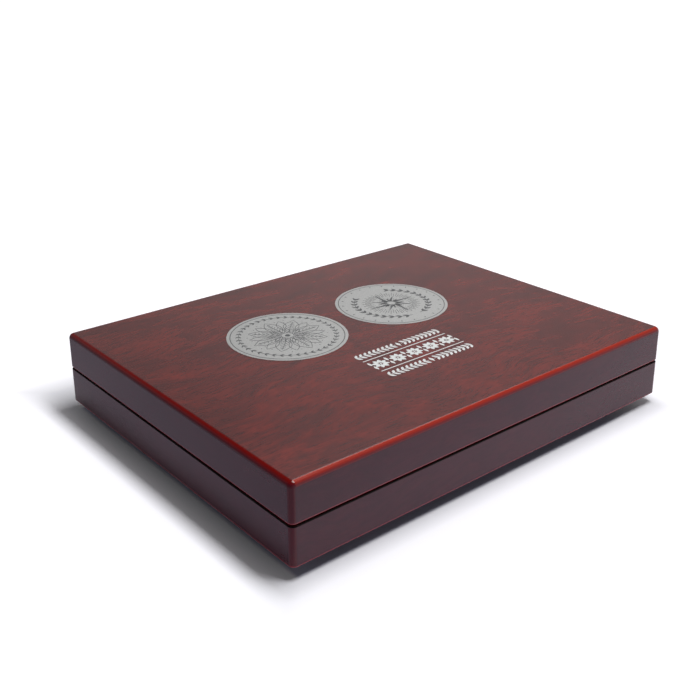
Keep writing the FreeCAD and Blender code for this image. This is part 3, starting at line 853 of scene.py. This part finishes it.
# %% Left disc
RIM_LINE = 37.2
RIM_LINE_WIDTH = 0.55
FINE_LINE = 0.38
HAIR_LINE = 0.30
HEART = 4.2
BOSS = 1.8
LARGE_PETALS = {"count": 8, "length": 20.5, "width": 10.5, "start": 5.5, "first_angle": 0.0}
MIDDLE_PETALS = {"count": 8, "length": 15, "width": 6.4, "start": 10, "first_angle": math.pi / 8}
SMALL_PETALS = {"count": 16, "length": 7, "width": 2.8, "start": 4.6, "first_angle": 0.2}
RIB = [(7, 0), (14, 0.35), (23, 0)]
VEINS = 5
VEIN_START = 9.5
VEIN_FOOT = 0.3
VEIN_PITCH = 2.8
VEIN_REACH = 2.9
VEIN_SHRINK = 0.42
DOTS = 4
DOT_RADIUS = 0.34
DOT_START = 20.5
DOT_PITCH = 1.9
DOT_ASIDE = 0.13
WREATH = 31.8
WREATH_PAIRS = 40
WREATH_LEAN = 0.62
WREATH_LEAF = leaf(3.3, 1.15, 4)

lines = [(circle(RIM_LINE), RIM_LINE_WIDTH, True), (circle(HEART, 40), FINE_LINE, True)]
plates = [circle(BOSS, 24)]
for ring in (LARGE_PETALS, MIDDLE_PETALS, SMALL_PETALS):
    lines += [(outline, FINE_LINE, True) for outline in petals(**ring)]
for step in range(LARGE_PETALS["count"]):
    angle = math.tau * step / LARGE_PETALS["count"]
    lines.append((turned(RIB, angle), FINE_LINE, False))
    for vein in range(VEINS):
        start = VEIN_START + VEIN_PITCH * vein
        reach = VEIN_REACH - VEIN_SHRINK * vein
        for side in (-1, 1):
            stroke = [(start, VEIN_FOOT * side), (start + 0.9 * reach, reach * side)]
            lines.append((turned(stroke, angle), HAIR_LINE, False))
    for dot in range(DOTS):
        aside = math.pi / 8 + DOT_ASIDE * (-1) ** dot
        spot = turned([(DOT_START + DOT_PITCH * dot, 0)], angle + aside)[0]
        plates.append(circle(DOT_RADIUS, 10, spot))
for step in range(WREATH_PAIRS):
    angle = math.tau * step / WREATH_PAIRS
    root = (WREATH * math.cos(angle), WREATH * math.sin(angle))
    for lean in (-WREATH_LEAN, WREATH_LEAN):
        plates.append(turned(WREATH_LEAF, angle + math.pi / 2 + lean, root))
lines.append((circle(WREATH), HAIR_LINE, True))
disc_print("disc_left_flower", "foil_disc_left", lines, plates)

# %% [markdown]
# The right disc gets a compass star inside a laurel wreath, with fine rays behind it and small lozenges
# along the rim. A point of the star is two triangles: one is filled and one is only outlined, as on an
# engraved coin. The sixteen points come in three lengths, in an order that repeats after four points.

# %% Right disc
STAR_HUB = 3.2
STAR_FOOT = (3.4, 0.15)
STAR_SHOULDER = 4.6
STAR_POINTS = ((17.5, 2.6), (9.5, 1.2), (13.5, 1.9), (9.5, 1.2))
RAYS = 64
RAY_SPANS = ((14.5, 20.5), (12.5, 18.5))
LAUREL = 26
LAUREL_FIRST = 8
LAUREL_SWEEP = 140
LAUREL_STEPS = 24
LAUREL_LEAN = 0.55
LAUREL_LEAF = leaf(4.6, 1.7)
LOZENGE = [(33.4, 0), (34.3, 0.6), (35.2, 0), (34.3, -0.6)]
LOZENGES = 24

lines = [(circle(RIM_LINE), RIM_LINE_WIDTH, True), (circle(STAR_HUB, 32), FINE_LINE, True)]
plates = []
foot, foot_aside = STAR_FOOT
for step in range(16):
    angle = math.tau * step / 16
    reach, half_width = STAR_POINTS[step % 4]
    plates.append(turned([(foot, foot_aside), (reach, 0.0), (STAR_SHOULDER, half_width)], angle))
    outline = [(foot, -foot_aside), (STAR_SHOULDER, -half_width), (reach, 0.0)]
    lines.append((turned(outline, angle), HAIR_LINE, True))
for step in range(RAYS):
    start, end = RAY_SPANS[step % 2]
    lines.append((turned([(start, 0), (end, 0)], math.tau * (step + 0.5) / RAYS), HAIR_LINE, False))
for side in (-1, 1):
    stem = []
    for step in range(LAUREL_STEPS + 1):
        run = math.radians(LAUREL_FIRST + LAUREL_SWEEP * step / LAUREL_STEPS)
        angle = side * run - math.pi / 2
        stem.append((LAUREL * math.cos(angle), LAUREL * math.sin(angle)))
        if step % 2:
            for lean in (-LAUREL_LEAN, LAUREL_LEAN):
                plates.append(turned(LAUREL_LEAF, angle + side * math.pi / 2 + lean, stem[-1]))
    lines.append((stem, FINE_LINE, False))
plates += [turned(LOZENGE, math.tau * step / LOZENGES) for step in range(LOZENGES)]
disc_print("disc_right_star", "foil_disc_right", lines, plates)

# %% [markdown]
# Below the discs the lid carries a block of white ornament: three rows with two thin rules between them,
# the middle row the largest. The upper and lower rows are laurel garlands that run from both ends to a
# lozenge in the middle. The middle row is a chain of round flowers and upright leaves. All are plates cut
# to a leaf's outline, placed in loops.

# %% White ornament
BLOCK_WIDTH = 70.0
GARLANDS = {"upper": -31.7, "lower": -62.0}
GARLAND_HEIGHT = 7.0
GARLAND_LEAVES = 9
GARLAND_LEAN = 0.88
GARLAND_LEAF = leaf(0.66 * GARLAND_HEIGHT, 1.95)
GARLAND_MIDDLE = 2.4
STEM_GAP = 2.2
STEM_WIDTH = 0.4
CHAIN_LEVEL = -46.7
CHAIN_HEIGHT = 12.4
CHAIN_FLOWERS = 5
CHAIN_INSET = 0.8
CHAIN_HEART = 0.06 * CHAIN_HEIGHT
CHAIN_PETAL_START = 0.09 * CHAIN_HEIGHT
CHAIN_PETAL = leaf(0.38 * CHAIN_HEIGHT, 2.7)
CHAIN_LEAF = leaf(0.44 * CHAIN_HEIGHT, 1.9)
CHAIN_LEAF_START = 0.35
RULES = {"upper": -38.2, "lower": -55.2}
RULE_WIDTH = 0.75
PRINT_HEIGHT = 0.06 * MM

lid_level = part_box("lid_top_board")[1].z


def on_corners(corners, width, height, centre):
    return [(centre[0] + width / 2 * x, centre[1] + height / 2 * y) for x, y in corners]


def lozenge(width, height, centre):
    return on_corners(((1, 0), (0, 1), (-1, 0), (0, -1)), width, height, centre)


def bar(width, height, centre):
    return on_corners(((-1, -1), (1, -1), (1, 1), (-1, 1)), width, height, centre)


def garland(level):
    """Pairs of leaves on a stem, from both ends to the middle."""
    end = BLOCK_WIDTH / 2
    found = [lozenge(2.6, 0.9 * GARLAND_HEIGHT, (0, level))]
    pitch = (end - GARLAND_MIDDLE) / GARLAND_LEAVES
    for side in (-1, 1):
        found.append(bar(end - STEM_GAP, STEM_WIDTH, (side * (end + STEM_GAP) / 2, level)))
        inward = math.pi if side > 0 else 0.0
        for count in range(GARLAND_LEAVES):
            root = (side * (end - pitch * count), level)
            for lean in (-GARLAND_LEAN, GARLAND_LEAN):
                found.append(turned(GARLAND_LEAF, inward + lean, root))
    return found


def chain(level):
    """Round flowers of eight leaves, with pairs of upright leaves between them."""
    found = []
    pitch = BLOCK_WIDTH / CHAIN_FLOWERS
    petal = [(CHAIN_PETAL_START + x, y) for x, y in CHAIN_PETAL]
    for count in range(CHAIN_FLOWERS):
        middle = (pitch * (count + 0.5) - BLOCK_WIDTH / 2, level)
        found += [turned(petal, math.tau * (step + 0.5) / 8, middle) for step in range(8)]
        found.append(circle(CHAIN_HEART, 12, middle))
    furthest = BLOCK_WIDTH / 2 - CHAIN_INSET
    for count in range(CHAIN_FLOWERS + 1):
        x = max(-furthest, min(furthest, pitch * count - BLOCK_WIDTH / 2))
        for side in (-1, 1):
            root = (x, level + side * CHAIN_LEAF_START)
            found.append(turned(CHAIN_LEAF, side * math.pi / 2, root))
    return found


def print_on_lid(name, plates):
    form = bmesh.new()
    bottom, top = lid_level - INK_SUNK, lid_level + PRINT_HEIGHT
    for points in plates:
        add_plate(form, [(x * MM, y * MM) for x, y in points], bottom, top)
    new_piece(name, form, white_ink, "lid")


for row, level in GARLANDS.items():
    print_on_lid(f"lid_{row}_garland", garland(level))
print_on_lid("lid_flower_chain", chain(CHAIN_LEVEL))
for rule, level in RULES.items():
    print_on_lid(f"lid_{rule}_rule", [bar(BLOCK_WIDTH, RULE_WIDTH, (0, level))])

print("ornament:", len(GARLANDS), "garlands, a chain and", len(RULES), "rules")

# %% [markdown]
# Velvet is a pile: short upright fibres that darken where one looks straight into them and shine at a low
# angle. The shader's sheen gives that glow. A fine noise in colour and height stands for the pile, and a
# broad one for the places where it was brushed the other way.

# %% Velvet
VELVET_DEEP = (0.040, 0.004, 0.007, 1)
VELVET_LIGHT = (0.095, 0.010, 0.016, 1)
VELVET_SHEEN = (0.85, 0.35, 0.38, 1)
PILE_SHARE = 0.6
PILE_DEPTH = 0.00025
BRUSHED_FROM = (0.35, 0.65)

velvet, tree, shader = new_material(
    "red_velvet", Roughness=0.95, Sheen_Weight=0.55, Sheen_Roughness=0.35, Sheen_Tint=VELVET_SHEEN
)
shader.inputs["Specular IOR Level"].default_value = 0.15
place = place_in_object(tree)
pile = cloud(tree, place, 2600).outputs[0]
brushed = ramped(tree, cloud(tree, place, 45, 3.0).outputs[0], *BRUSHED_FROM)
tone = maths(tree, "ADD", times(tree, pile, PILE_SHARE), times(tree, brushed, 1 - PILE_SHARE))
join(tree, mixed(tree, tone, VELVET_DEEP, VELVET_LIGHT), shader, "Base Color")
bumped(tree, shader, pile, PILE_DEPTH)

print("velvet:", len(tree.nodes), "nodes")

# %% [markdown]
# The tray is board wrapped in velvet: a floor, four rim strips and crossed dividers. The wrap rounds every
# upper edge and is never quite straight. Each strip is a lengthwise row of rounded cross-sections, and each
# section is moved a little by a smooth noise. The strips take their places from the CAD boards that they
# stand for.

# %% Velvet strips
SECTION_STEP = 0.002
WRAP_ROUND = 0.0011
WRAP_SWELL = 0.00012
WRAP_SWAY = 0.6
WAVES_ALONG = 90
WAVES_BETWEEN = 300


def strip_section(half_width, low, high):
    """Points (across, up) round a strip with a rounded top."""
    points = [(-half_width, low), (-half_width - WRAP_SWELL, (low + high) / 2)]
    for step in range(5):
        angle = math.pi - math.pi / 2 * step / 4
        inward = WRAP_ROUND * (1 + math.cos(angle))
        points.append((-half_width + inward, high - WRAP_ROUND * (1 - math.sin(angle))))
    return points + [(-across, up) for across, up in points[::-1]]


def velvet_strip(name, cad_node):
    low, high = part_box(cad_node)
    size = high - low
    middle = (low + high) / 2
    along, across = (0, 1) if size.x > size.y else (1, 0)
    sections = max(2, round(size[along] / SECTION_STEP))
    form = bmesh.new()
    rings = []
    for step in range(sections + 1):
        run = low[along] + size[along] * step / sections
        wave = WRAP_SWELL * noise.noise(Vector((run * WAVES_ALONG, middle[across] * WAVES_BETWEEN, 1.5)))
        ring = []
        for aside, up in strip_section(size[across] / 2 - WRAP_SWELL, low.z, high.z - WRAP_SWELL):
            corner = Vector((0, 0, up + wave * (up - low.z) / size.z))
            corner[along] = run
            corner[across] = middle[across] + aside + wave * WRAP_SWAY
            ring.append(form.verts.new(corner))
        rings.append(ring)
    for face in add_skin(form, rings):
        face.smooth = True
    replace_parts(new_piece(name, form, velvet, "base"), cad_node)


def is_strip(name):
    return name.startswith("tray_") and (name.endswith("_rim") or "divider" in name)


strips = [name for name in sorted(nodes) if is_strip(name)]
for name in strips:
    velvet_strip(name.replace("tray_", "velvet_"), name)

print("velvet strips:", len(strips))

# %% [markdown]
# The floor of the tray is one velvet-covered board. Under each coin place the velvet rises to a low
# cushion, and it is drawn down where the dividers press on it. The top is a grid of points, lifted by the
# distance to the nearest divider, and a skirt of faces closes it below.

# %% Velvet floor
FLOOR_STEP = 0.0022
FLOOR_RISE = 0.00045
FLOOR_PRESS = 0.006
FLOOR_WAVE = 0.0001
FLOOR_WAVES = 70


def add_cushion_grid(form, low, high, step, height_at):
    """A closed block from low to high whose top follows height_at(x, y)."""
    across = max(2, round((high.x - low.x) / step))
    deep = max(2, round((high.y - low.y) / step))
    top, bottom = {}, {}
    for i in range(across + 1):
        for j in range(deep + 1):
            x = low.x + (high.x - low.x) * i / across
            y = low.y + (high.y - low.y) * j / deep
            top[i, j] = form.verts.new((x, y, height_at(x, y)))
            if i in (0, across) or j in (0, deep):
                bottom[i, j] = form.verts.new((x, y, low.z))
    for i in range(across):
        for j in range(deep):
            form.faces.new((top[i, j], top[i + 1, j], top[i + 1, j + 1], top[i, j + 1])).smooth = True
    rim = [(i, 0) for i in range(across)] + [(across, j) for j in range(deep)]
    rim += [(i, deep) for i in range(across, 0, -1)] + [(0, j) for j in range(deep, 0, -1)]
    for this, after in zip(rim, rim[1:] + rim[:1]):
        form.faces.new((top[this], bottom[this], bottom[after], top[after]))
    form.faces.new([bottom[key] for key in rim[::-1]])


def middles(axis, word):
    boxes = [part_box(name) for name in nodes if word in name]
    return [(low[axis] + high[axis]) / 2 for low, high in boxes]


floor_low, floor_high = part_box("tray_board")
lines_x = middles(0, "short_divider") + [floor_low.x, floor_high.x]
lines_y = middles(1, "long_divider") + [floor_low.y, floor_high.y]


def floor_height(x, y):
    nearest = min(min(abs(x - line) for line in lines_x), min(abs(y - line) for line in lines_y))
    rise = FLOOR_RISE * (min(1, nearest / FLOOR_PRESS) ** 0.5 - 0.6)
    return floor_high.z + rise + FLOOR_WAVE * noise.noise(Vector((x * FLOOR_WAVES, y * FLOOR_WAVES, 3.1)))


form = bmesh.new()
add_cushion_grid(form, floor_low, floor_high, FLOOR_STEP, floor_height)
velvet_floor = new_piece("velvet_floor", form, velvet, "base")
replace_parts(velvet_floor, "tray_board")

print("velvet floor:", len(velvet_floor.data.vertices), "points")

# %% [markdown]
# Under the tray lies a sheet of black foam that lifts it. Its sides bulge a little under the load: the
# sheet is a stack of rectangular rings that are widest half way up. The pores are a bump from a cell
# pattern, because they are far smaller than a face, and their middles are painted darker as shade.

# %% Foam under the tray
# The middles of the pores are painted darker as shade.
FOAM_PORE_SHADE = (0.016, 0.016, 0.018, 1)
FOAM_LIGHT = (0.050, 0.050, 0.054, 1)
FOAM_PORES = 900.0
FOAM_PORE_FROM = (0.1, 0.6)
FOAM_PORE_DEPTH = 0.0005
FOAM_BULGE = 0.0003
FOAM_LEVELS = 6
FOAM_COUNTS = (40, 30, 40, 30)

foam, tree, shader = new_material("black_foam", Roughness=1.0)
place = place_in_object(tree)
cells = put(tree, "TexVoronoi", None, Vector=place, Scale=FOAM_PORES).outputs["Distance"]
join(tree, mixed(tree, ramped(tree, cells, *FOAM_PORE_FROM), FOAM_PORE_SHADE, FOAM_LIGHT), shader, "Base Color")
bumped(tree, shader, cells, FOAM_PORE_DEPTH)


def foam_ring(low, high, swell, z):
    """Points round the sheet, from its front left corner on, with each side moved out by the swell."""
    left, right = low.x - swell, high.x + swell
    front, back = low.y - swell, high.y + swell
    corners = [Vector((x, y, z)) for x, y in ((left, front), (right, front), (right, back), (left, back))]
    points = []
    for start, end, count in zip(corners, corners[1:] + corners[:1], FOAM_COUNTS):
        points += [start.lerp(end, step / count) for step in range(count)]
    return points


low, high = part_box("tray_cushion")
form = bmesh.new()
rings = []
for level in range(FOAM_LEVELS + 1):
    share = level / FOAM_LEVELS
    swell = FOAM_BULGE * (math.sin(math.pi * share) - 1)
    ring = foam_ring(low, high, swell, low.z + (high.z - low.z) * share)
    rings.append([form.verts.new(point) for point in ring])
for face in add_skin(form, rings):
    face.smooth = True
foam_sheet = new_piece("tray_foam", form, foam, "base")
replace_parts(foam_sheet, "tray_cushion")

print("foam sheet:", len(foam_sheet.data.vertices), "points")

# %% [markdown]
# The lid is lined with ivory satin over wadding. Satin has a smooth face of long floating threads, so it
# shines, and its fine weave shows only close up. The weave is two wave patterns at right angles, far finer
# than a millimetre. A slub is a thicker stretch of thread, and it darkens the tone a little.

# %% Satin
SATIN = (0.80, 0.72, 0.56, 1)
SATIN_SHADE = (0.66, 0.57, 0.42, 1)
WARP = 900.0
WEFT = 520.0
WARP_SHARE = 0.65
WEAVE_DEPTH = 0.00003
SLUB_GRAIN = (30, 420, 420)
SLUB_FROM = (0.45, 0.75)
SLUB_SHARE = 0.35
WEAVE_SHARE = 0.25

satin, tree, shader = new_material(
    "ivory_satin", Roughness=0.38, Sheen_Weight=0.25, Sheen_Roughness=0.3, Anisotropic=0.4
)
place = place_in_object(tree)
warp = put(tree, "TexWave", {"bands_direction": "X"}, Vector=place, Scale=WARP).outputs["Fac"]
weft = put(tree, "TexWave", {"bands_direction": "Y"}, Vector=place, Scale=WEFT).outputs["Fac"]
weave = maths(tree, "ADD", times(tree, warp, WARP_SHARE), times(tree, weft, 1 - WARP_SHARE))
slub = ramped(tree, drawn_out(tree, place, SLUB_GRAIN, 2.0), *SLUB_FROM)
darker = maths(tree, "ADD", times(tree, slub, SLUB_SHARE), times(tree, weave, WEAVE_SHARE))
join(tree, mixed(tree, less(tree, darker), SATIN_SHADE, SATIN), shader, "Base Color")
bumped(tree, shader, weave, WEAVE_DEPTH)

print("satin:", len(tree.nodes), "nodes")

# %% [markdown]
# The pad behind the satin is drawn tight at its edge and fullest in the middle. It starts as a low closed
# block with a grid for its lower face. The block is made upwards from a flat back and then turned over,
# because it hangs below the card.

# %% Padded lining
PAD_STEP = 0.004
PAD_HEM = 0.0006
PAD_EDGE = 0.0030
PAD_CROWN = 0.0034
PAD_CORNER = 0.012

pad_low, pad_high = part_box("lining_pad")
pad_half = (pad_high - pad_low) / 2


def edge_distance(x, y):
    return min(pad_half.x - abs(x), pad_half.y - abs(y))


def pad_height(x, y):
    """How far the satin hangs below the card."""
    inward = max(0.0, edge_distance(x, y))
    shoulder = 1 - (1 - min(1.0, inward / PAD_CORNER)) ** 2
    crown = (1 - (x / pad_half.x) ** 2) * (1 - (y / pad_half.y) ** 2)
    return PAD_HEM + PAD_EDGE * shoulder ** 0.5 + PAD_CROWN * crown


form = bmesh.new()
low = Vector((-pad_half.x, -pad_half.y, 0))
high = Vector((pad_half.x, pad_half.y, 0))
add_cushion_grid(form, low, high, PAD_STEP, pad_height)
for vert in form.verts:
    vert.co.z = pad_high.z - vert.co.z
satin_pad = new_piece("satin_lining", form, satin, "lid")

print("pad before the cloth:", len(satin_pad.data.vertices), "points")

# %% [markdown]
# A cloth simulation with air pressure swells the pad like a cushion, held where it is glued to the card.
# How far each point may move is capped, so that the satin stays clear of the tray.

# %% Swell the lining
PAD_CAP = 0.0012
GLUE_LINE = 0.001
CLOTH_FRAMES = 20
CLOTH_PRESSURE = 4.0


def swell_cloth(piece, held, cap):
    """Blows the piece up like a cushion and keeps each point within cap of its start."""
    start = [vert.co.copy() for vert in piece.data.vertices]
    group = piece.vertex_groups.new(name="glued")
    group.add(held, 1.0, "REPLACE")
    cloth = piece.modifiers.new("cloth", "CLOTH")
    cloth.settings.use_pressure = True
    cloth.settings.uniform_pressure_force = CLOTH_PRESSURE
    cloth.settings.vertex_group_mass = "glued"
    cloth.settings.effector_weights.gravity = 0
    for step in range(1, CLOTH_FRAMES + 1):
        bpy.context.scene.frame_set(step)
    evaluated = piece.evaluated_get(bpy.context.evaluated_depsgraph_get())
    moved = [vert.co.copy() for vert in evaluated.data.vertices]
    piece.modifiers.remove(cloth)
    piece.vertex_groups.clear()
    bpy.context.scene.frame_set(1)
    furthest = 0.0
    for vert, before, after in zip(piece.data.vertices, start, moved):
        shift = after - before
        furthest = max(furthest, shift.length)
        vert.co = before + shift * min(1.0, cap / max(shift.length, 1e-9))
    return furthest


glued = [vert.index for vert in satin_pad.data.vertices if vert.co.z > pad_high.z - GLUE_LINE]
furthest = swell_cloth(satin_pad, glued, PAD_CAP)
print("cloth moved up to", round(furthest / MM, 2), "mm before the cap")

# %% [markdown]
# Last come the small gathers along the edge, which cloth of this size can't form by itself. The lower face
# is divided once more, and a wave along the edge lifts and lowers it, strongest at the edge and faded out
# over 16 mm. A noise bends the gathers, and a broad one makes the middle uneven.

# %% Gather the lining
HEM_LINE = 0.0003
GATHER_DEPTH = 0.00055
GATHER_PITCH = 0.0105
GATHER_REACH = 0.016
GATHER_WAVES = 60
GATHER_BEND = 0.6
PAD_WAVE = 0.0004
PAD_WAVES = 22

form = bmesh.new()
form.from_mesh(satin_pad.data)
inner = [edge for edge in form.edges if all(vert.co.z < pad_high.z - HEM_LINE for vert in edge.verts)]
bmesh.ops.subdivide_edges(form, edges=inner, cuts=1, use_grid_fill=True, smooth=0.6)
for vert in form.verts:
    x, y = vert.co.x, vert.co.y
    if vert.co.z < pad_high.z - GLUE_LINE:
        run = x if pad_half.y - abs(y) < pad_half.x - abs(x) else y
        drift = noise.noise(Vector((x * GATHER_WAVES, y * GATHER_WAVES, 7.7)))
        fade = max(0.0, 1 - edge_distance(x, y) / (GATHER_REACH * (1 + 0.5 * drift)))
        gather = GATHER_DEPTH * fade * math.sin(math.tau * (run / GATHER_PITCH + GATHER_BEND * drift))
        broad = PAD_WAVE * noise.noise(Vector((x * PAD_WAVES, y * PAD_WAVES, 5.2)))
        vert.co.z = max(vert.co.z + gather + broad, pad_low.z)
for face in form.faces:
    face.smooth = True
bmesh.ops.recalc_face_normals(form, faces=form.faces)
form.to_mesh(satin_pad.data)
form.free()
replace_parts(satin_pad, "lining_pad")

print("lining:", len(satin_pad.data.vertices), "points")
